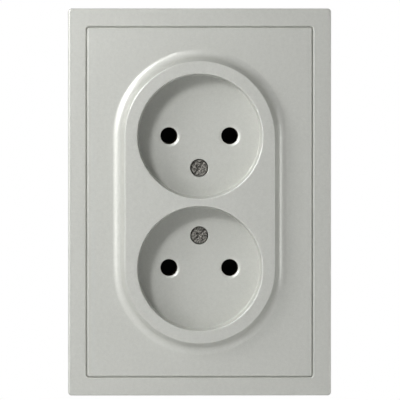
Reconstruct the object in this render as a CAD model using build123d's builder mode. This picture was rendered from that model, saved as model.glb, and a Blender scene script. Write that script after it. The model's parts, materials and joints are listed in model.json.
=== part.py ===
from build123d import *
from math import cos, radians, sin, tan
import os

# Sizes are in millimetres. X runs to the right along the wall, Z runs up it and Y runs into it.
# A height is counted from the wall's surface towards the room, so it is negative inside the wall.

# Front, as seen by the user
pin_pitch = 19.0
socket_pitch = 41.2
recess_r = 19.5
recess_taper = 0.5
collar_land = 3.85
flank_angle = 23
cove_r = 3.0
panel_w = 70.32
panel_h = 109.02
panel_corner_r = 0.8
seam_gap = 0.1
groove_depth = 0.6
groove_angle = 30
border = 5.74
frame_corner_r = 1.1
pin_hole_r = 2.65
cover_screw_offset = 10.05

# Heights above the wall
face_height = 10.0
collar_height = 4.2
floor_front = 3.2
floor_t = 2.0
panel_edge = 3.5
ledge_t = 1.6

# Walls and edge roundings of the mouldings
skin = 2.0
wall = 1.8
frame_edge_r = 0.6
groove_edge_r = 0.3
collar_edge_r = 0.32
rim_lip_r = 1.4
rim_lip_angle = 18
recess_floor_r = 0.12
pin_lip_r = 2.0
pin_lip_angle = 30
insert_land = 0.2
insert_step = 0.6
ledge_w = 2.0
rib_t = 1.2

# Cover screws, their bosses and nuts
cover_head_r = 2.7
cover_head_h = 1.8
cover_shank_r = 1.5
cover_screw_length = 16.0
cover_head_depth = 1.2
cover_head_gap = 0.12
cover_turn_upper = 55
cover_turn_lower = 45
boss_r = 4.2
boss_end = -1.5
nut_side = 5.5
nut_t = 2.4
nut_front = -10.6

# Base block, kept inside a wall box of 60 mm
base_side = 2.95
base_end = 1.9
base_corner = 2.6
base_front = 1.0
base_back = -20.0
ear_w = 9.0
ear_root = 2.4
ear_reach = 6.5
ear_corner_r = 1.5
ear_t = 1.8

# Live pieces
pin_r = 2.4
pin_clearance = 0.05
clip_t = 0.6
clip_front = -5.0
clip_tail = 7.6
clip_wrap_angle = 300
bus_t = 0.8
bus_front = -6.0
bus_w = 8.0
bus_end = 1.8
tab_w = 9.0
tab_inner = 5.6
pocket_back = -17.5
contact_rivet_r = 0.8
contact_rivet_head_r = 1.4
contact_rivet_head_t = 0.5
contact_rivet_z = 5.6

# Terminals
terminal_x = 9.3
terminal_shank_r = 1.75
terminal_head_r = 3.0
terminal_head_h = 2.0
terminal_length = 10.0
terminal_open = 2.6
clamp_t = 1.2
clamp_w = 7.2
clamp_h = 8.4
wire_hole_r = 1.3
wire_z = 2.9
terminal_turn = 20

# Strap and rivets
strap_room = 3.7
strap_h = 71.0
strap_corner = 6.0
strap_t = 1.0
box_screw_pitch = 60.0
box_slot_r = 2.05
box_slot_length = 7.0
strap_rivet_out = 3.4
strap_rivet_r = 1.6
strap_rivet_head_r = 2.4
strap_rivet_head_t = 0.8

# Claws
claw_z = 9.0
claw_w = 7.0
claw_t = 1.2
claw_pivot_out = 3.0
claw_pivot_height = -2.8
claw_eye_r = 2.1
claw_pin_r = 1.0
claw_pin_head_r = 1.6
claw_pin_head_t = 0.6
claw_arm_end = 7.2
claw_bend_depth = 11.2
claw_tip_out = 4.0
claw_tip_depth = 16.7
claw_screw_arm = 5.2
claw_screw_r = 1.5
claw_head_r = 2.7
claw_head_h = 2.0
claw_screw_length = 13.0
claw_turn = 30
lug_t = 1.0
lug_r = 2.2

# Clearances
shank_gap = 0.1
seat_gap = 0.15
side_gap = 0.2
window_gap = 0.3
pocket_gap = 0.45
claw_hole_gap = 0.7

# Sizes that follow from the ones above
collar_r = recess_r + collar_land
collar_foot_r = collar_r + collar_height * tan(radians(flank_angle))
collar_top = face_height + collar_height
floor_back = floor_front - floor_t
opening_w = panel_w + 2 * seam_gap
opening_h = panel_h + 2 * seam_gap
frame_w = opening_w + 2 * border
frame_h = opening_h + 2 * border
strap_w = frame_w - 2 * (wall + strap_room)
ledge_front = face_height - panel_edge
ledge_back = ledge_front - ledge_t
groove_floor = face_height - groove_depth
cup_r = recess_r + skin
insert_r = recess_r - recess_taper - recess_floor_r - insert_land
insert_back_r = insert_r - insert_step
insert_seat = floor_front - floor_t / 2
socket_z = socket_pitch / 2
pin_x = pin_pitch / 2
cover_screw_z = socket_z - cover_screw_offset
cover_seat = floor_front - cover_head_depth - cover_head_h
clip_r = pin_r + pin_clearance
clip_back = bus_front - bus_w
bus_x = pin_x + clip_r + clip_t
channel_side = bus_x + bus_t + contact_rivet_head_t + side_gap
clamp_back = bus_front + terminal_open
clamp_front = clamp_back + clamp_t
wire_height = bus_front + terminal_open / 2
base_w = 2 * (channel_side + base_side)
ear_inner = base_w / 2 - ear_root
ear_outer = base_w / 2 + ear_reach
ear_x = (ear_inner + ear_outer) / 2
strap_rivet_x = base_w / 2 + strap_rivet_out
claw_pivot_x = base_w / 2 + claw_pivot_out
claw_screw_x = claw_pivot_x + claw_screw_arm
lug_z = claw_w / 2 + side_gap + lug_t / 2
pocket_low = socket_z - clip_tail - pocket_gap
pocket_high = socket_z + clip_r + clip_t + pocket_gap
base_h = 2 * (pocket_high + base_end)
sockets = [(0, socket_z), (0, -socket_z)]
pins = [(x, z) for x in (-pin_x, pin_x) for z in (-socket_z, socket_z)]
cover_screws_at = [(0, cover_screw_z, cover_turn_upper), (0, -cover_screw_z, cover_turn_lower)]
sides = [("left", -1), ("right", 1)]

# Round cuts: place, top and bottom height, top and bottom radius, rounding of lip and foot,
# and how far the lip's arc turns down from the face where it isn't a quarter
head_hole_r = cover_head_r + cover_head_gap
shank_hole_r = cover_shank_r + shank_gap
recess_foot_r = recess_r - recess_taper
lip_space = 1.0
recess_cuts = []
for x, z in sockets:
    roundings = (rim_lip_r, recess_floor_r, rim_lip_angle)
    recess_cuts.append((x, z, collar_top, floor_front, recess_r, recess_foot_r, *roundings))
    recess_cuts.append((x, z, floor_front, insert_seat, insert_r, insert_r, 0, 0))
    recess_cuts.append((x, z, insert_seat, floor_back, insert_back_r, insert_back_r, 0, 0))

os.makedirs("parts", exist_ok=True)


def at_height(height):
    # A sketch plane facing the room, with its own x along X and its own y along Z.
    return Plane.XZ.offset(height)


def on_circle(edges, radius, height):
    # The circular edges of one radius that lie at one height.
    found = edges.filter_by(GeomType.CIRCLE).filter_by_position(Axis.Y, -height - 0.01, -height + 0.01)
    return found.filter_by(lambda e: abs(e.radius - radius) < 0.01)


def round_cut(x, z, top, bottom, top_r, bottom_r, lip_r, foot_r, lip_angle=90):
    # The space of one round hole that opens towards the room, with its lip and foot rounded.
    with BuildPart() as hole:
        with BuildSketch(Plane.XY.offset(z)):
            lip_x = x + top_r + lip_r * sin(radians(lip_angle))
            lip_depth = lip_r * (1 - cos(radians(lip_angle)))
            with BuildLine():
                Polyline((x, -bottom), (x, -top - lip_space), (lip_x, -top - lip_space), (lip_x, -top))
                if lip_r > 0:
                    CenterArc((lip_x, -top + lip_r), lip_r, 270, -lip_angle)
                Polyline((x + top_r, -top + lip_depth), (x + bottom_r, -bottom), (x, -bottom))
            make_face()
            if foot_r > 0:
                fillet(vertices().sort_by_distance((x + bottom_r, -bottom))[0], foot_r)
        revolve(axis=Axis((x, 0, z), (0, 1, 0)))
    return hole.part


def combi_screw(x, z, seat, head_r, head_h, shank_r, length, turn):
    # A round-headed screw driven from the room, with a full slot crossed by a shorter one.
    with BuildPart() as screw:
        with BuildSketch(at_height(seat)):
            with Locations((x, z)):
                Circle(head_r)
        extrude(amount=head_h)
        fillet(on_circle(screw.edges(), head_r, seat + head_h), head_h * 0.25)
        with BuildSketch(at_height(seat)):
            with Locations((x, z)):
                Circle(shank_r)
        extrude(amount=-length)
        chamfer(on_circle(screw.edges(), shank_r, seat - length), shank_r * 0.3)
        with BuildSketch(at_height(seat + head_h)):
            with Locations(Location((x, z), turn)):
                Rectangle(head_r * 2.2, head_r * 0.28)
        extrude(amount=-head_h * 0.45, mode=Mode.SUBTRACT)
        with BuildSketch(at_height(seat + head_h)):
            with Locations(Location((x, z), turn)):
                Rectangle(head_r * 1.15, head_r * 0.34)
                Rectangle(head_r * 0.34, head_r * 1.15)
        extrude(amount=-head_h * 0.7, taper=8, mode=Mode.SUBTRACT)
    return screw.part


# Outer frame: front skin, outer wall, and an inner wall with the ledge that the cover sits on
with BuildPart() as frame:
    with BuildSketch(at_height(0)):
        RectangleRounded(frame_w, frame_h, frame_corner_r)
    extrude(amount=face_height)
    with BuildSketch(at_height(face_height)):
        RectangleRounded(opening_w, opening_h, panel_corner_r + seam_gap)
    extrude(amount=-panel_edge, mode=Mode.SUBTRACT)
    front_edges = frame.edges().filter_by_position(Axis.Y, -face_height - 0.01, -face_height + 0.01)
    outer_edges = front_edges.filter_by(
        lambda e: abs(e.center().X) > opening_w / 2 + 1 or abs(e.center().Z) > opening_h / 2 + 1
    )
    fillet(outer_edges, frame_edge_r)
    with BuildSketch(at_height(groove_floor)):
        RectangleRounded(opening_w, opening_h, panel_corner_r + seam_gap)
    extrude(amount=groove_depth, taper=-groove_angle, mode=Mode.SUBTRACT)
    groove_edges = frame.edges().filter_by_position(Axis.Y, -face_height - 0.01, -face_height + 0.01)
    groove_x = opening_w / 2 + groove_depth
    groove_z = opening_h / 2 + groove_depth
    groove_edges = groove_edges.filter_by_position(Axis.X, -groove_x, groove_x)
    groove_edges = groove_edges.filter_by_position(Axis.Z, -groove_z, groove_z)
    fillet(groove_edges, groove_edge_r)
    with BuildSketch(at_height(0)):
        RectangleRounded(opening_w - 2 * ledge_w, opening_h - 2 * ledge_w, panel_corner_r)
    extrude(amount=face_height, mode=Mode.SUBTRACT)
    with BuildSketch(at_height(0)):
        Rectangle(frame_w - 2 * wall, frame_h - 2 * wall)
    extrude(amount=ledge_back, mode=Mode.SUBTRACT)
    with BuildSketch(at_height(ledge_back)):
        Rectangle(frame_w - 2 * wall, frame_h - 2 * wall)
        Rectangle(opening_w + 2 * wall, opening_h + 2 * wall, mode=Mode.SUBTRACT)
    extrude(amount=face_height - skin - ledge_back, mode=Mode.SUBTRACT)
    rib_len = border - wall + 0.2
    with BuildSketch(at_height(ledge_back - 2)):
        with GridLocations(frame_w - 2 * wall - rib_len + 0.4, frame_h / 4, 2, 3):
            Rectangle(rib_len, rib_t)
        with GridLocations(frame_w / 3, frame_h - 2 * wall - rib_len + 0.4, 2, 2):
            Rectangle(rib_t, rib_len)
    extrude(amount=2 + face_height - skin - ledge_back)
frame.part.label = "frame"
export_step(frame.part, "parts/frame.step")

# Cover: plate with a sloped edge, collar with its leaning flank, and both recess walls in one moulding
with BuildPart() as cover:
    with BuildSketch(at_height(ledge_front)):
        RectangleRounded(panel_w, panel_h, panel_corner_r)
    extrude(amount=panel_edge - groove_depth)
    with BuildSketch(at_height(groove_floor)):
        RectangleRounded(panel_w, panel_h, panel_corner_r)
    extrude(amount=groove_depth, taper=groove_angle)
    with BuildSketch(at_height(face_height)):
        SlotCenterToCenter(socket_pitch, 2 * collar_foot_r, rotation=90)
    extrude(amount=collar_height, taper=flank_angle)
    front_edges = cover.edges().filter_by_position(Axis.Y, -face_height - 0.01, -face_height + 0.01)
    foot_reach = collar_foot_r + 0.1
    foot_edges = front_edges.filter_by(
        lambda e: abs(e.center().X) < foot_reach and abs(e.center().Z) < socket_z + foot_reach
    )
    fillet(foot_edges, cove_r)
    top_edges = cover.edges().filter_by_position(Axis.Y, -collar_top - 0.01, -collar_top + 0.01)
    fillet(top_edges, collar_edge_r)
    plate_edges = cover.edges().filter_by_position(Axis.Y, -face_height - 0.01, -face_height + 0.01)
    plate_x = panel_w / 2 - panel_corner_r
    plate_z = panel_h / 2 - panel_corner_r
    plate_edges = plate_edges.filter_by(lambda e: abs(e.center().X) > plate_x or abs(e.center().Z) > plate_z)
    fillet(plate_edges, groove_edge_r)
    with BuildSketch(at_height(ledge_front)):
        Rectangle(panel_w - 2 * wall, panel_h - 2 * wall)
    extrude(amount=panel_edge - skin, mode=Mode.SUBTRACT)
    with BuildSketch(at_height(floor_back)):
        with Locations(*sockets):
            Circle(cup_r)
    extrude(amount=face_height - floor_back)
    with BuildSketch(at_height(face_height - skin)):
        SlotCenterToCenter(socket_pitch, 2 * (collar_r - wall), rotation=90)
        with Locations(*sockets):
            Circle(cup_r, mode=Mode.SUBTRACT)
    extrude(amount=collar_height, mode=Mode.SUBTRACT)
    for cut in recess_cuts:
        add(round_cut(*cut), mode=Mode.SUBTRACT)
cover.part.label = "cover"
export_step(cover.part, "parts/cover.step")

# Recess floors: round inserts seated on the ledge inside each recess wall, with pin holes and a screw boss
for row, (x, z), (screw_x, screw_z, turn) in zip(("upper", "lower"), sockets, cover_screws_at):
    with BuildPart() as insert:
        with BuildSketch(at_height(floor_back)):
            with Locations((x, z)):
                Circle(insert_back_r)
        extrude(amount=insert_seat - floor_back)
        with BuildSketch(at_height(insert_seat)):
            with Locations((x, z)):
                Circle(insert_r)
        extrude(amount=floor_front - insert_seat)
        with BuildSketch(at_height(boss_end)):
            with Locations((screw_x, screw_z)):
                Circle(boss_r)
        extrude(amount=floor_back - boss_end)
        for pin in (x - pin_x, x + pin_x):
            hole = (pin, z, floor_front, floor_back, pin_hole_r, pin_hole_r, pin_lip_r, 0, pin_lip_angle)
            add(round_cut(*hole), mode=Mode.SUBTRACT)
        head_hole = (screw_x, screw_z, floor_front, cover_seat, head_hole_r, head_hole_r, cover_head_gap, 0)
        add(round_cut(*head_hole), mode=Mode.SUBTRACT)
        shank_hole = (screw_x, screw_z, cover_seat, boss_end, shank_hole_r, shank_hole_r, 0, 0)
        add(round_cut(*shank_hole), mode=Mode.SUBTRACT)
    insert.part.label = "recess_floor_" + row
    export_step(insert.part, "parts/recess_floor_" + row + ".step")

# Cover screws and the nuts they draw on
screw_pair = [
    combi_screw(x, z, cover_seat, cover_head_r, cover_head_h, cover_shank_r, cover_screw_length, turn)
    for x, z, turn in cover_screws_at
]
with BuildPart() as cover_screws:
    add(screw_pair)
cover_screws.part.label = "cover_screws"
export_step(cover_screws.part, "parts/cover_screws.step")

with BuildPart() as cover_nuts:
    for x, z, turn in cover_screws_at:
        with BuildSketch(at_height(nut_front)):
            with Locations((x, z)):
                Rectangle(nut_side, nut_side)
                Circle(cover_shank_r + shank_gap, mode=Mode.SUBTRACT)
        extrude(amount=-nut_t)
cover_nuts.part.label = "cover_nuts"
export_step(cover_nuts.part, "parts/cover_nuts.step")

# Base block with its pockets, in a middle part and two end parts that meet where the pin pockets begin
with BuildPart() as block:
    with BuildSketch(at_height(base_back)):
        Rectangle(base_w, base_h)
        chamfer(vertices(), base_corner)
    extrude(amount=base_front - base_back)
    with BuildSketch(at_height(base_front)):
        with Locations((ear_x, 0), (-ear_x, 0)):
            RectangleRounded(ear_outer - ear_inner, ear_w, ear_corner_r)
    extrude(amount=ear_t)
    with BuildSketch(at_height(base_front)):
        with Locations((strap_rivet_x, 0), (-strap_rivet_x, 0)):
            Circle(strap_rivet_r + shank_gap)
    extrude(amount=ear_t, mode=Mode.SUBTRACT)
    for name, side in sides:
        for end in (-1, 1):
            pocket_in = pin_x - clip_r - clip_t - pocket_gap
            with BuildSketch(at_height(base_front)):
                with Locations((side * (pocket_in + channel_side) / 2, end * (pocket_low + pocket_high) / 2)):
                    Rectangle(channel_side - pocket_in, pocket_high - pocket_low)
            extrude(amount=pocket_back - base_front, mode=Mode.SUBTRACT)
        with BuildSketch(at_height(base_front)):
            with Locations((side * (bus_x + bus_t / 2), 0)):
                Rectangle(bus_t + 2 * side_gap, 2 * (socket_z + bus_end))
        extrude(amount=clip_back - base_front, mode=Mode.SUBTRACT)
        with BuildSketch(at_height(base_front)):
            with Locations((side * (tab_inner - pocket_gap + channel_side) / 2, 0)):
                Rectangle(channel_side - tab_inner + pocket_gap, tab_w + 2 * pocket_gap)
        extrude(amount=bus_front - bus_t - base_front, mode=Mode.SUBTRACT)
        with BuildSketch(at_height(bus_front)):
            with Locations((side * terminal_x, 0)):
                Circle(terminal_shank_r + pocket_gap)
        extrude(amount=pocket_back - bus_front, mode=Mode.SUBTRACT)
        with BuildSketch(Plane.YZ.offset(side * base_w / 2)):
            with Locations((-wire_height, wire_z), (-wire_height, -wire_z)):
                Circle(wire_hole_r)
        extrude(amount=-side * (base_w / 2 - channel_side), mode=Mode.SUBTRACT)
    for x, z, turn in cover_screws_at:
        with BuildSketch(at_height(base_front)):
            with Locations((x, z)):
                Circle(boss_r + seat_gap)
        extrude(amount=boss_end - base_front, mode=Mode.SUBTRACT)
        with BuildSketch(at_height(base_back)):
            with Locations((x, z)):
                Circle(cover_shank_r + shank_gap)
        extrude(amount=boss_end - base_back, mode=Mode.SUBTRACT)
        with BuildSketch(at_height(base_back)):
            with Locations((x, z)):
                Rectangle(nut_side + 2 * side_gap, nut_side + 2 * side_gap)
        extrude(amount=nut_front - base_back, mode=Mode.SUBTRACT)
with BuildPart() as base:
    add(block.part)
    split(bisect_by=Plane.XY.offset(pocket_low), keep=Keep.BOTTOM)
    split(bisect_by=Plane.XY.offset(-pocket_low), keep=Keep.TOP)
base.part.label = "base"
export_step(base.part, "parts/base.step")

for row, end, kept in (("upper", 1, Keep.TOP), ("lower", -1, Keep.BOTTOM)):
    with BuildPart() as base_block:
        add(block.part)
        split(bisect_by=Plane.XY.offset(end * pocket_low), keep=kept)
    base_block.part.label = "base_" + row
    export_step(base_block.part, "parts/base_" + row + ".step")

# Busbars: a strip on edge past both sockets, with a tab folded over for the terminal
for name, side in sides:
    with BuildPart() as busbar:
        with BuildSketch(at_height(bus_front)):
            with Locations((side * (bus_x + bus_t / 2), 0)):
                Rectangle(bus_t, 2 * (socket_z + bus_end - side_gap))
        extrude(amount=-bus_w)
        with BuildSketch(at_height(bus_front)):
            with Locations((side * (tab_inner + bus_x + bus_t) / 2, 0)):
                Rectangle(bus_x + bus_t - tab_inner, tab_w)
            with Locations((side * terminal_x, 0)):
                Circle(terminal_shank_r + shank_gap, mode=Mode.SUBTRACT)
        extrude(amount=-bus_t)
        with BuildSketch(Plane.YZ.offset(side * bus_x)):
            for end in (-1, 1):
                for height in (bus_front - bus_w * 0.25, bus_front - bus_w * 0.75):
                    with Locations((-height, end * (socket_z - contact_rivet_z))):
                        Circle(contact_rivet_r + shank_gap / 2)
        extrude(amount=side * bus_t, mode=Mode.SUBTRACT)
    busbar.part.label = "busbar_" + name
    export_step(busbar.part, "parts/busbar_" + name + ".step")

# Contact clips: spring strip rolled round the pin, with a tail that lies on the busbar
for row, end in (("upper", 1), ("lower", -1)):
    for name, side in sides:
        mid_r = clip_r + clip_t / 2
        with BuildPart() as clip:
            with BuildSketch(at_height(clip_front)):
                with BuildLine():
                    tail_x = side * (pin_x + mid_r)
                    Line((tail_x, end * (socket_z - clip_tail)), (tail_x, end * socket_z))
                    CenterArc(
                        (side * pin_x, end * socket_z),
                        mid_r,
                        0 if side > 0 else 180,
                        clip_wrap_angle * side * end,
                    )
                trace(line_width=clip_t)
            extrude(amount=clip_back - clip_front)
            with BuildSketch(Plane.YZ.offset(side * (bus_x - clip_t))):
                for height in (bus_front - bus_w * 0.25, bus_front - bus_w * 0.75):
                    with Locations((-height, end * (socket_z - contact_rivet_z))):
                        Circle(contact_rivet_r + shank_gap / 2)
            extrude(amount=side * clip_t, mode=Mode.SUBTRACT)
        clip.part.label = "contact_" + row + "_" + name
        export_step(clip.part, "parts/contact_" + row + "_" + name + ".step")

# Contact rivets, two through each clip's tail and its busbar
with BuildPart() as contact_rivets:
    for name, side in sides:
        for end in (-1, 1):
            for height in (bus_front - bus_w * 0.25, bus_front - bus_w * 0.75):
                spot = (-height, end * (socket_z - contact_rivet_z))
                with BuildSketch(Plane.YZ.offset(side * (bus_x - clip_t))):
                    with Locations(spot):
                        Circle(contact_rivet_r)
                extrude(amount=side * (clip_t + bus_t))
                with BuildSketch(Plane.YZ.offset(side * (bus_x - clip_t))):
                    with Locations(spot):
                        Circle(contact_rivet_head_r)
                extrude(amount=-side * contact_rivet_head_t)
                with BuildSketch(Plane.YZ.offset(side * (bus_x + bus_t))):
                    with Locations(spot):
                        Circle(contact_rivet_head_r)
                extrude(amount=side * contact_rivet_head_t)
contact_rivets.part.label = "contact_rivets"
export_step(contact_rivets.part, "parts/contact_rivets.step")

# Terminal clamp plates, shown open, and their screws
for name, side in sides:
    with BuildPart() as clamp:
        with BuildSketch(at_height(clamp_back)):
            with Locations((side * terminal_x, 0)):
                RectangleRounded(clamp_w, clamp_h, 0.6)
                Circle(terminal_shank_r + shank_gap, mode=Mode.SUBTRACT)
        extrude(amount=clamp_t)
    clamp.part.label = "terminal_clamp_" + name
    export_step(clamp.part, "parts/terminal_clamp_" + name + ".step")
    terminal_screw = combi_screw(
        side * terminal_x,
        0,
        clamp_front,
        terminal_head_r,
        terminal_head_h,
        terminal_shank_r,
        terminal_length,
        terminal_turn * side,
    )
    terminal_screw.label = "terminal_screw_" + name
    export_step(terminal_screw, "parts/terminal_screw_" + name + ".step")

# Strap: sheet plate on the wall, with lugs bent back on each side to carry a claw
with BuildPart() as strap:
    with BuildSketch(at_height(0)):
        RectangleRounded(strap_w, strap_h, strap_corner)
        with Locations((box_screw_pitch / 2, 0), (-box_screw_pitch / 2, 0)):
            SlotOverall(box_slot_length, 2 * box_slot_r, mode=Mode.SUBTRACT)
        with Locations((strap_rivet_x, 0), (-strap_rivet_x, 0)):
            Circle(strap_rivet_r + shank_gap, mode=Mode.SUBTRACT)
        for name, side in sides:
            with Locations((side * claw_screw_x, side * claw_z)):
                Circle(claw_screw_r + shank_gap, mode=Mode.SUBTRACT)
            with Locations((side * (claw_pivot_x + lug_r) / 2, side * claw_z)):
                Rectangle(claw_pivot_x + lug_r, claw_w + 2 * side_gap, mode=Mode.SUBTRACT)
    extrude(amount=strap_t)
    with BuildSketch(at_height(0)):
        Rectangle(base_w + 2 * window_gap, base_h + 2 * window_gap)
        chamfer(vertices(), base_corner)
    extrude(amount=strap_t, mode=Mode.SUBTRACT)
    for name, side in sides:
        for edge in (-1, 1):
            with BuildSketch(Plane.XY.offset(side * claw_z + edge * lug_z - lug_t / 2)):
                with Locations((side * claw_pivot_x, -claw_pivot_height / 2)):
                    Rectangle(2 * lug_r, -claw_pivot_height)
                with Locations((side * claw_pivot_x, -claw_pivot_height)):
                    Circle(lug_r)
                    Circle(claw_pin_r + shank_gap / 2, mode=Mode.SUBTRACT)
            extrude(amount=lug_t)
strap.part.label = "strap"
export_step(strap.part, "parts/strap.step")

# Strap rivets through the base's ears
with BuildPart() as strap_rivets:
    for name, side in sides:
        with BuildSketch(at_height(0)):
            with Locations((side * strap_rivet_x, 0)):
                Circle(strap_rivet_r)
        extrude(amount=base_front + ear_t)
        for height, out in ((base_front + ear_t, 1), (0, -1)):
            with BuildSketch(at_height(height)):
                with Locations((side * strap_rivet_x, 0)):
                    Circle(strap_rivet_head_r)
            extrude(amount=out * strap_rivet_head_t)
strap_rivets.part.label = "strap_rivets"
export_step(strap_rivets.part, "parts/strap_rivets.step")

# Claws: strip rolled round the pin, an arm under the claw screw and a leg with a toothed tip
for name, side in sides:
    with BuildPart() as claw:
        with BuildSketch(Plane.XY.offset(side * claw_z - claw_w / 2)):
            px = side * claw_pivot_x
            py = -claw_pivot_height
            in_x = px - side * (claw_eye_r - claw_t / 2)
            with Locations((px, py)):
                Circle(claw_eye_r)
            with BuildLine():
                Line((in_x, py), (in_x, py + claw_bend_depth))
                Line((in_x, py + claw_bend_depth), (px + side * claw_tip_out, py + claw_tip_depth))
            trace(line_width=claw_t)
            with Locations((px + side * claw_arm_end / 2, py + claw_eye_r - claw_t / 2)):
                Rectangle(claw_arm_end, claw_t)
            with Locations((px, py)):
                Circle(claw_pin_r + shank_gap, mode=Mode.SUBTRACT)
        extrude(amount=claw_w)
        with BuildSketch(at_height(claw_pivot_height)):
            with Locations((side * claw_screw_x, side * claw_z)):
                Circle(claw_screw_r + claw_hole_gap)
        extrude(amount=-claw_eye_r * 1.2, mode=Mode.SUBTRACT)
        with BuildSketch(Plane.YZ.offset(px + side * claw_tip_out * 0.55)):
            with Locations((py + claw_tip_depth, side * claw_z)):
                with GridLocations(0, claw_w / 2, 1, 2):
                    Rectangle(claw_tip_out * 2, claw_w / 5, rotation=0)
        extrude(amount=side * claw_tip_out, mode=Mode.SUBTRACT)
    claw.part.label = "claw_" + name
    export_step(claw.part, "parts/claw_" + name + ".step")

# Claw pins, headed on both lugs
with BuildPart() as claw_pins:
    for name, side in sides:
        pin_half = lug_z + lug_t / 2
        with BuildSketch(Plane.XY.offset(side * claw_z - pin_half)):
            with Locations((side * claw_pivot_x, -claw_pivot_height)):
                Circle(claw_pin_r)
        extrude(amount=2 * pin_half)
        for edge in (-1, 1):
            with BuildSketch(Plane.XY.offset(side * claw_z + edge * pin_half)):
                with Locations((side * claw_pivot_x, -claw_pivot_height)):
                    Circle(claw_pin_head_r)
            extrude(amount=edge * claw_pin_head_t)
claw_pins.part.label = "claw_pins"
export_step(claw_pins.part, "parts/claw_pins.step")

# Claw screws, headed on the strap
for name, side in sides:
    claw_screw = combi_screw(
        side * claw_screw_x,
        side * claw_z,
        strap_t,
        claw_head_r,
        claw_head_h,
        claw_screw_r,
        claw_screw_length,
        claw_turn,
    )
    claw_screw.label = "claw_screw_" + name
    export_step(claw_screw, "parts/claw_screw_" + name + ".step")
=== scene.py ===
import json
import math

import bmesh
import bpy
from mathutils import Matrix, Vector


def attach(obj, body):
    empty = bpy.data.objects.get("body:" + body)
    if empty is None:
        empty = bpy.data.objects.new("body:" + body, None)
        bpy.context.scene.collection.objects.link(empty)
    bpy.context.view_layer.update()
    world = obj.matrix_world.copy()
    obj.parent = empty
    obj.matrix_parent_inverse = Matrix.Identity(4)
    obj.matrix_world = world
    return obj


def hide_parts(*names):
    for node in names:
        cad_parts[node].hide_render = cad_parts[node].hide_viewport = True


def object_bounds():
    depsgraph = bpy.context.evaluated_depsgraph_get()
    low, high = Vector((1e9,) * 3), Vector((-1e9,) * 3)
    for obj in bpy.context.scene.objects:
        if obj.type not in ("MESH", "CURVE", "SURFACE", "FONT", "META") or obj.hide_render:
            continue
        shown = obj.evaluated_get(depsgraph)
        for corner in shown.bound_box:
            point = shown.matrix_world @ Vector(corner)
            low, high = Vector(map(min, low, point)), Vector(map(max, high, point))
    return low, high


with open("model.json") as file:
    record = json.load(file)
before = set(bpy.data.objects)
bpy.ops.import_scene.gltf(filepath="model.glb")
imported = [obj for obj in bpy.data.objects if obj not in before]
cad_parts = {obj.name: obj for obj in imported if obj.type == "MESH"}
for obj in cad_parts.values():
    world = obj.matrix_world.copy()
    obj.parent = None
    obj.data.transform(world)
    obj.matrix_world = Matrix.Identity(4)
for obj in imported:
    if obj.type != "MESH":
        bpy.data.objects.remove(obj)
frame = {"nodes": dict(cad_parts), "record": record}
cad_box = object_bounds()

mm = 0.001
scene = bpy.context.scene


# Finishes ---------------------------------------------------------------------------------------

class Tone:
    """A value on its way through shader nodes, so that sums are written as arithmetic."""

    def __init__(self, shading, socket):
        self.shading = shading
        self.socket = socket

    def maths(self, operation, first, second):
        return self.shading.add("ShaderNodeMath", {"operation": operation}, {0: first, 1: second})

    def __add__(self, other):
        return self.maths("ADD", self, other)

    def __radd__(self, other):
        return self.maths("ADD", other, self)

    def __sub__(self, other):
        return self.maths("SUBTRACT", self, other)

    def __rsub__(self, other):
        return self.maths("SUBTRACT", other, self)

    def __mul__(self, other):
        return self.maths("MULTIPLY", self, other)

    def __rmul__(self, other):
        return self.maths("MULTIPLY", other, self)

    def at_least(self, other):
        return self.maths("MAXIMUM", self, other)


class Shading:
    """The shader nodes of a finish or of the room."""

    def __init__(self, owner):
        owner.use_nodes = True
        self.nodes = owner.node_tree.nodes
        self.links = owner.node_tree.links

    def add(self, kind, settings=None, inputs=None, output=0):
        node = self.nodes.new(kind)
        for setting, value in (settings or {}).items():
            setattr(node, setting, value)
        for socket, value in (inputs or {}).items():
            self.feed(node.inputs[socket], value)
        return Tone(self, node.outputs[output])

    def feed(self, socket, value):
        if isinstance(value, Tone):
            self.links.new(value.socket, socket)
        else:
            socket.default_value = value


class Finish(Shading):
    """A material with one surface shader, whose patterns are laid out in the object's own space."""

    def __init__(self, name, **surface):
        self.material = bpy.data.materials.new(name)
        super().__init__(self.material)
        self.surface = self.nodes["Principled BSDF"]
        self.place = self.add("ShaderNodeTexCoord", output="Object")
        self.paint(**surface)

    def paint(self, **fed):
        for socket, value in fed.items():
            self.feed(self.surface.inputs[socket.replace("_", " ")], value)

    def grain(self, scale, detail=2.0, rough=0.5, stretch=None):
        place = self.place
        if stretch:
            place = self.add("ShaderNodeMapping", None, {"Vector": place, "Scale": stretch})
        return self.add("ShaderNodeTexNoise", None,
                        {"Vector": place, "Scale": scale, "Detail": detail, "Roughness": rough})

    def cell_tone(self, scale):
        """One level for each of many small cells."""
        cells = self.add("ShaderNodeTexVoronoi", None, {"Vector": self.place, "Scale": scale}, "Color")
        return self.add("ShaderNodeSeparateColor", None, {"Color": cells})

    def spread(self, value, low, high):
        return self.add("ShaderNodeMapRange", None, {"Value": value, "From Min": low, "From Max": high})

    def blend(self, factor, first, second):
        return self.add("ShaderNodeMix", {"data_type": "RGBA"}, {0: factor, 6: first, 7: second}, 2)

    def relief(self, height, depth, strength=1.0):
        bump = self.add("ShaderNodeBump", None, {"Height": height, "Distance": depth, "Strength": strength})
        self.paint(Normal=bump)


def grey(level):
    return (level, level, level, 1.0)


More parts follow.
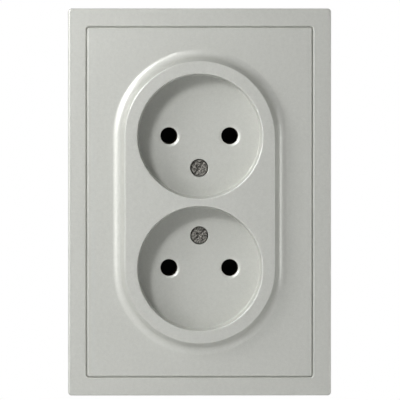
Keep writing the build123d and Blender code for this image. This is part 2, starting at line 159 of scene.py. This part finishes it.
def silver_paint():
    """Satin silver-grey lacquer on moulded plastic, with a fine flake and a faint orange peel."""
    finish = Finish("silver_paint", IOR=1.46, Metallic=0.27)
    flake = finish.cell_tone(5200)
    mottle = finish.grain(900, 3.0, 0.6)
    cloud = finish.grain(60, 2.0)
    shade = 0.5 + (mottle - 0.5) * 1.2 + (flake - 0.5) * 0.5 + (cloud - 0.5) * 0.25
    finish.paint(
        Base_Color=finish.blend(shade, (0.555, 0.562, 0.527, 1), (0.625, 0.632, 0.594, 1)),
        Roughness=0.34 + (mottle - 0.5) * 0.10,
    )
    finish.relief(mottle + flake * 0.3, 6e-6, 0.6)
    return finish.material


def black_moulding():
    """Black insulating plastic, dull, with the fine grain of its mould."""
    finish = Finish("black_moulding", IOR=1.52)
    spark = finish.grain(4200, 3.0, 0.6)
    flow = finish.grain(120, 3.0)
    finish.paint(
        Base_Color=finish.blend(flow, (0.010, 0.010, 0.011, 1), (0.024, 0.024, 0.025, 1)),
        Roughness=0.5 + (spark - 0.5) * 0.35,
    )
    finish.relief(spark, 14e-6, 0.7)
    return finish.material


def dull_steel():
    """Dark plated steel of the cover screws, blotched and handled."""
    finish = Finish("dull_steel", Metallic=0.9)
    blotch = finish.spread(finish.grain(2400, 3.0, 0.65), 0.41, 0.60)
    scuff = finish.grain(5200, 2.0, 0.6)
    finish.paint(
        Base_Color=finish.blend(blotch, (0.034, 0.033, 0.030, 1), (0.360, 0.347, 0.316, 1)),
        Roughness=0.36 + blotch * 0.14 + (scuff - 0.5) * 0.2,
    )
    finish.relief(blotch + scuff * 0.5, 12e-6, 0.7)
    return finish.material


def zinc_plate():
    """Bright zinc plate on sheet steel: faint crystals, rolling lines and a slight bloom."""
    finish = Finish("zinc_plate", Metallic=1.0)
    crystal = finish.cell_tone(420)
    rolling = finish.grain(1.0, 3.0, 0.6, (5200, 260, 260))
    bloom = finish.spread(finish.grain(160, 4.0, 0.6), 0.35, 0.7)
    shade = 0.25 + crystal * 0.3 + rolling * 0.35 - bloom * 0.2
    finish.paint(
        Base_Color=finish.blend(shade, (0.36, 0.37, 0.39, 1), (0.66, 0.67, 0.68, 1)),
        Roughness=0.26 + bloom * 0.16 + (rolling - 0.5) * 0.12,
    )
    finish.relief(rolling, 5e-6, 0.5)
    return finish.material


def bare_brass():
    """Stamped brass, a little tarnished."""
    finish = Finish("bare_brass", Metallic=1.0)
    tarnish = finish.spread(finish.grain(260, 4.0, 0.6), 0.38, 0.72)
    draw = finish.grain(1.0, 3.0, 0.6, (300, 300, 4200))
    finish.paint(
        Base_Color=finish.blend(tarnish, (0.70, 0.49, 0.19, 1), (0.42, 0.26, 0.10, 1)),
        Roughness=0.24 + tarnish * 0.16 + (draw - 0.5) * 0.1,
    )
    finish.relief(draw, 4e-6, 0.5)
    return finish.material


def shade_darkened_bronze():
    """Rolled bronze strip of the contact clips, its colour darkened nearly to black as painted shade for
    the clips seen deep in the pin holes.
    """
    finish = Finish("shade_darkened_bronze", Metallic=1.0)
    tarnish = finish.spread(finish.grain(320, 4.0, 0.6), 0.4, 0.75)
    draw = finish.grain(1.0, 3.0, 0.6, (300, 4800, 300))
    finish.paint(
        # Both tones are painted shade, far darker than bronze, so the clips read as shaded inside the pin
        # holes; the blend between them is tarnish.
        Base_Color=finish.blend(tarnish, (0.060, 0.036, 0.022, 1), (0.026, 0.017, 0.012, 1)),
        Roughness=0.25 + tarnish * 0.15 + (draw - 0.5) * 0.1,
    )
    finish.relief(draw, 4e-6, 0.5)
    return finish.material


finishes = {
    "silver_plastic": silver_paint(),
    "black_plastic": black_moulding(),
    "dark_steel": dull_steel(),
    "zinc_steel": zinc_plate(),
    "brass": bare_brass(),
    "bronze": shade_darkened_bronze(),
}

for subpart in frame["record"]["subparts"]:
    node = frame["nodes"][subpart["node"]]
    finish = finishes[subpart["material_slot"]]
    if not node.material_slots:
        node.data.materials.append(finish)
    for place in node.material_slots:
        place.material = finish


# Screws -----------------------------------------------------------------------------------------

# Where each kind of screw sits and how large it is, as in the solids.
# A seat is counted from the wall's surface towards the room.
cover_screw = {"seat": 0.2 * mm, "head_r": 2.7 * mm, "head_h": 1.8 * mm,
               "shank_r": 1.5 * mm, "length": 16 * mm, "pitch": 0.5 * mm}
cover_screw_up = 10.55 * mm
claw_screw = {"seat": 1.0 * mm, "head_r": 2.7 * mm, "head_h": 2.0 * mm,
              "shank_r": 1.5 * mm, "length": 13 * mm, "pitch": 0.5 * mm}
claw_screw_out = 25.2 * mm
claw_screw_up = 9 * mm
wire_screw = {"seat": -2.2 * mm, "head_r": 3.0 * mm, "head_h": 2.0 * mm,
              "shank_r": 1.75 * mm, "length": 10 * mm, "pitch": 0.6 * mm}
wire_screw_out = 9.3 * mm
recess_softness = 0.07 * mm


def mesh_from(shape, name):
    mesh = bpy.data.meshes.new(name)
    shape.to_mesh(mesh)
    shape.free()
    return mesh


def turned(profile, steps=56):
    """A closed shape turned about Z from the corners (radius, height) of its profile."""
    shape = bmesh.new()
    corners = [shape.verts.new((radius, 0, height)) for radius, height in profile]
    edges = [shape.edges.new(pair) for pair in zip(corners, corners[1:])]
    bmesh.ops.spin(shape, geom=corners + edges, cent=(0, 0, 0), axis=(0, 0, 1), angle=2 * math.pi,
                   steps=steps, use_merge=True, use_duplicate=False)
    bmesh.ops.remove_doubles(shape, verts=shape.verts, dist=1e-8)
    bmesh.ops.recalc_face_normals(shape, faces=shape.faces)
    return shape


def recess_tool(long, wide, deep, top, foot):
    """A block that sinks into a screw head from its top, narrower at its foot."""
    tool = bmesh.new()
    bmesh.ops.create_cube(tool, size=1)
    bmesh.ops.scale(tool, vec=(long, wide, 2 * deep), verts=tool.verts)
    low = [v for v in tool.verts if v.co.z < 0]
    bmesh.ops.scale(tool, vec=(foot, foot, 1), verts=low)
    bmesh.ops.translate(tool, vec=(0, 0, top), verts=tool.verts)
    return tool


def cut_away(shape, tools, softened):
    """The shape without the space of the tools, with its new edges softened."""
    whole = bpy.data.objects.new("screw_head", mesh_from(shape, "screw_head"))
    scene.collection.objects.link(whole)
    spent = [whole]
    for tool in tools:
        cutter = bpy.data.objects.new("driver_tip", mesh_from(tool, "driver_tip"))
        scene.collection.objects.link(cutter)
        spent.append(cutter)
        cut = whole.modifiers.new("cut", "BOOLEAN")
        cut.operation = "DIFFERENCE"
        cut.solver = "EXACT"
        cut.object = cutter
    soft = whole.modifiers.new("soft", "BEVEL")
    soft.width = softened
    soft.segments = 2
    soft.limit_method = "ANGLE"
    soft.angle_limit = math.radians(40)
    bpy.context.view_layer.update()
    done = bpy.data.meshes.new_from_object(whole.evaluated_get(bpy.context.evaluated_depsgraph_get()))
    for one in spent:
        bpy.data.objects.remove(one)
    return done


def threaded_shank(radius, depth, pitch, top, tip, steps=28):
    """A screw thread wound down from top to tip, with a narrowed end."""
    shape = bmesh.new()
    root = radius - depth
    ridge = [(root, 0), (root, 0.14), (radius, 0.44), (radius, 0.56), (root, 0.86), (root, 1)]
    corners = [shape.verts.new((r, 0, top + pitch * (1 + h))) for r, h in ridge]
    edges = [shape.edges.new(pair) for pair in zip(corners, corners[1:])]
    turns = math.ceil((top - tip) / pitch) + 3
    bmesh.ops.spin(shape, geom=corners + edges, cent=(0, 0, 0), axis=(0, 0, 1),
                   dvec=(0, 0, -pitch / steps), angle=2 * math.pi * turns, steps=steps * turns,
                   use_merge=False, use_duplicate=False)
    bmesh.ops.remove_doubles(shape, verts=shape.verts, dist=2e-6)
    for height, up in ((top, 1), (tip, -1)):
        every = shape.verts[:] + shape.edges[:] + shape.faces[:]
        bmesh.ops.bisect_plane(shape, geom=every, dist=1e-8, plane_co=(0, 0, height),
                               plane_no=(0, 0, up), clear_outer=True)
    open_edges = [edge for edge in shape.edges if edge.is_boundary]
    bmesh.ops.holes_fill(shape, edges=open_edges, sides=0)
    lead = 1.6 * pitch
    for corner in shape.verts:
        past = max(0.0, 1 - (corner.co.z - tip) / lead)
        corner.co.xy *= 1 - 0.3 * past
    bmesh.ops.recalc_face_normals(shape, faces=shape.faces)
    return shape


def combi_screw(x, z, turn, seat, head_r, head_h, shank_r, length, pitch):
    """A screw driven from the room: domed head with a slot crossed by a shorter recess, and its thread."""
    edge = 0.16 * head_h
    profile = [(0, 0), (head_r - 0.12 * edge, 0), (head_r, 0.12 * edge), (head_r, head_h - edge)]
    for step in range(1, 7):
        angle = math.radians(15 * step)
        profile.append((head_r - edge * (1 - math.cos(angle)), head_h - edge * (1 - math.sin(angle))))
    profile[-1] = (head_r - edge, head_h - 0.04 * edge)
    profile += [(0.5 * head_r, head_h), (0, head_h)]
    slot_l, slot_w, slot_deep = 2.4 * head_r, 0.28 * head_r, 0.45 * head_h
    cross_l, cross_w, cross_deep, cross_foot = 1.15 * head_r, 0.34 * head_r, 0.7 * head_h, 0.6
    slot = recess_tool(slot_l, slot_w, slot_deep, head_h, 1.0)
    arms = [recess_tool(cross_l, cross_w, cross_deep, head_h, cross_foot),
            recess_tool(cross_w, cross_l, cross_deep, head_h, cross_foot)]
    head = cut_away(turned(profile), [slot] + arms, recess_softness)
    screw = bmesh.new()
    screw.from_mesh(head)
    shank = mesh_from(threaded_shank(shank_r, 0.55 * pitch, pitch, 0.2 * head_h, -length), "shank")
    screw.from_mesh(shank)
    for spent in (head, shank):
        bpy.data.meshes.remove(spent)
    place = Matrix.Translation((x, -seat, z)) @ Matrix.Rotation(math.pi / 2, 4, "X")
    place = place @ Matrix.Rotation(math.radians(turn), 4, "Z")
    bmesh.ops.transform(screw, matrix=place, verts=screw.verts)
    return screw


def screw_piece(name, screws, node, body, slot):
    """One object of one or more screws, in the place of their CAD node."""
    whole = bmesh.new()
    for screw in screws:
        part = mesh_from(screw, "one_screw")
        whole.from_mesh(part)
        bpy.data.meshes.remove(part)
    mesh = mesh_from(whole, name)
    mesh.polygons.foreach_set("use_smooth", [True] * len(mesh.polygons))
    mesh.set_sharp_from_angle(angle=math.radians(38))
    mesh.materials.append(finishes[slot])
    piece = bpy.data.objects.new(name, mesh)
    scene.collection.objects.link(piece)
    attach(piece, body)
    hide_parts(node)


screw_piece(
    "cover_screw_pair",
    [combi_screw(0, cover_screw_up, turn=55, **cover_screw),
     combi_screw(0, -cover_screw_up, turn=45, **cover_screw)],
    "cover_screws", "socket", "dark_steel")
for side, name in ((-1, "left"), (1, "right")):
    screw_piece(
        "claw_drive_screw_" + name,
        [combi_screw(side * claw_screw_out, side * claw_screw_up, turn=30, **claw_screw)],
        "claw_screw_" + name, "claw_screw_" + name, "zinc_steel")
    screw_piece(
        "wire_screw_" + name,
        [combi_screw(side * wire_screw_out, 0, turn=20 * side, **wire_screw)],
        "terminal_screw_" + name, "terminal_screw_" + name, "zinc_steel")


# Stage ------------------------------------------------------------------------------------------

# Levels of the room and the floor, where 1 is white
room_light = 0.045
floor_shade = 0.86
floor_whiteness = 0.7

# The floor's reach each way, and how far it lies below the part
floor_half_width = 0.7
floor_drop = 40 * mm

# The camera stands far off, a little to the left and above, and the lamps face the plate
camera_distance = 2.49
picture_width = 0.12468
camera_left = math.radians(0.9)
camera_up = math.radians(1.2)
camera_aim = Vector((0.12 * mm, -10 * mm, 0.65 * mm))
lamp_aim = Vector((0, -10 * mm, 0))


def seen_as_white(shading, strength):
    """The factor that lets the camera, mirrors and clear surfaces see plain white."""
    camera = shading.add("ShaderNodeLightPath", output="Is Camera Ray")
    mirror = shading.add("ShaderNodeLightPath", output="Is Glossy Ray")
    clear = shading.add("ShaderNodeLightPath", output="Is Transmission Ray")
    return camera.at_least(mirror).at_least(clear) * strength


def falling_off(shading, way, start, end, last):
    """A level that falls from 1 to last as the sight line turns towards a way through the room."""
    sight = shading.add("ShaderNodeTexCoord", output="Generated")
    share = shading.add("ShaderNodeVectorMath", {"operation": "DOT_PRODUCT"}, {0: sight, 1: way}, "Value")
    return shading.add("ShaderNodeMapRange", {"interpolation_type": "SMOOTHSTEP"},
                       {"Value": share, "From Min": start, "From Max": end, "To Min": 1.0, "To Max": last})


def white_room():
    """A dim room that looks white, and whose mirror image is darker in front and at the upper right."""
    scene.world = bpy.data.worlds.new("room")
    room = Shading(scene.world)
    front = falling_off(room, (0, -1, 0), start=0.60, end=0.95, last=0.15)
    upper_right = falling_off(room, (0.68, 0, 0.73), start=0.48, end=0.86, last=0.40)
    mirror = room.add("ShaderNodeLightPath", output="Is Glossy Ray")
    level = room.add("ShaderNodeMix", None, {0: mirror, 2: 1.0, 3: front * upper_right})
    dim = room.nodes["Background"]
    room.feed(dim.inputs["Color"], grey(1.0))
    room.feed(dim.inputs["Strength"], room_light)
    white = room.add("ShaderNodeBackground", None, {"Color": grey(1.0), "Strength": level})
    either = room.add("ShaderNodeMixShader", None,
                      {0: seen_as_white(room, 1.0), 1: Tone(room, dim.outputs[0]), 2: white})
    room.feed(room.nodes["World Output"].inputs["Surface"], either)


def pale_floor():
    """A floor that looks nearly white, keeps the shadow and is clear from below."""
    ground = bmesh.new()
    bmesh.ops.create_grid(ground, x_segments=1, y_segments=1, size=floor_half_width)
    bmesh.ops.translate(ground, vec=(0, 0, cad_box[0].z - floor_drop), verts=ground.verts)
    floor = bpy.data.objects.new("floor", mesh_from(ground, "floor"))
    scene.collection.objects.link(floor)
    pale = Finish("pale_floor", Base_Color=grey(floor_shade), Roughness=0.9)
    matt = Tone(pale, pale.surface.outputs[0])
    glow = pale.add("ShaderNodeEmission", None, {"Color": grey(1.0)})
    whiteness = seen_as_white(pale, floor_whiteness)
    either = pale.add("ShaderNodeMixShader", None, {0: whiteness, 1: matt, 2: glow})
    below = pale.add("ShaderNodeNewGeometry", output="Backfacing")
    clear = pale.add("ShaderNodeBsdfTransparent")
    one_sided = pale.add("ShaderNodeMixShader", None, {0: below, 1: either, 2: clear})
    pale.feed(pale.nodes["Material Output"].inputs["Surface"], one_sided)
    floor.data.materials.append(pale.material)


def lamp(name, lean, around, distance, width, power):
    """A round lamp that leans off the plate's normal, at an angle counted around it from the right."""
    light = bpy.data.lights.new(name, "AREA")
    light.shape = "DISK"
    light.size = width
    light.energy = power
    holder = bpy.data.objects.new(name, light)
    lean, around = math.radians(lean), math.radians(around)
    way = Vector((math.sin(lean) * math.cos(around), -math.cos(lean), math.sin(lean) * math.sin(around)))
    holder.location = lamp_aim + way * distance
    holder.rotation_euler = way.to_track_quat("Z", "Y").to_euler()
    scene.collection.objects.link(holder)


def front_camera():
    """A far camera, so that the view is nearly parallel."""
    view = bpy.data.cameras.new("front")
    view.sensor_width = 36
    view.lens = view.sensor_width * camera_distance / picture_width
    view.clip_start = 0.1
    view.clip_end = 20
    camera = bpy.data.objects.new("front", view)
    level = math.cos(camera_up)
    way = Vector((-math.sin(camera_left) * level, -math.cos(camera_left) * level, math.sin(camera_up)))
    camera.location = camera_aim + way * camera_distance
    camera.rotation_euler = way.to_track_quat("Z", "Y").to_euler()
    scene.collection.objects.link(camera)
    scene.camera = camera


white_room()
pale_floor()
lamp("key", lean=30, around=140, distance=0.62, width=0.11, power=1.55)
lamp("left", lean=42, around=180, distance=0.40, width=0.20, power=0.17)
lamp("top", lean=42, around=104, distance=0.40, width=0.20, power=0.08)
lamp("side", lean=58, around=152, distance=0.29, width=0.12, power=0.30)
lamp("fill", lean=78, around=-2, distance=0.45, width=0.16, power=0.20)
lamp("back", lean=128, around=50, distance=0.6, width=0.35, power=1.0)
front_camera()
scene.view_settings.view_transform = "Standard"
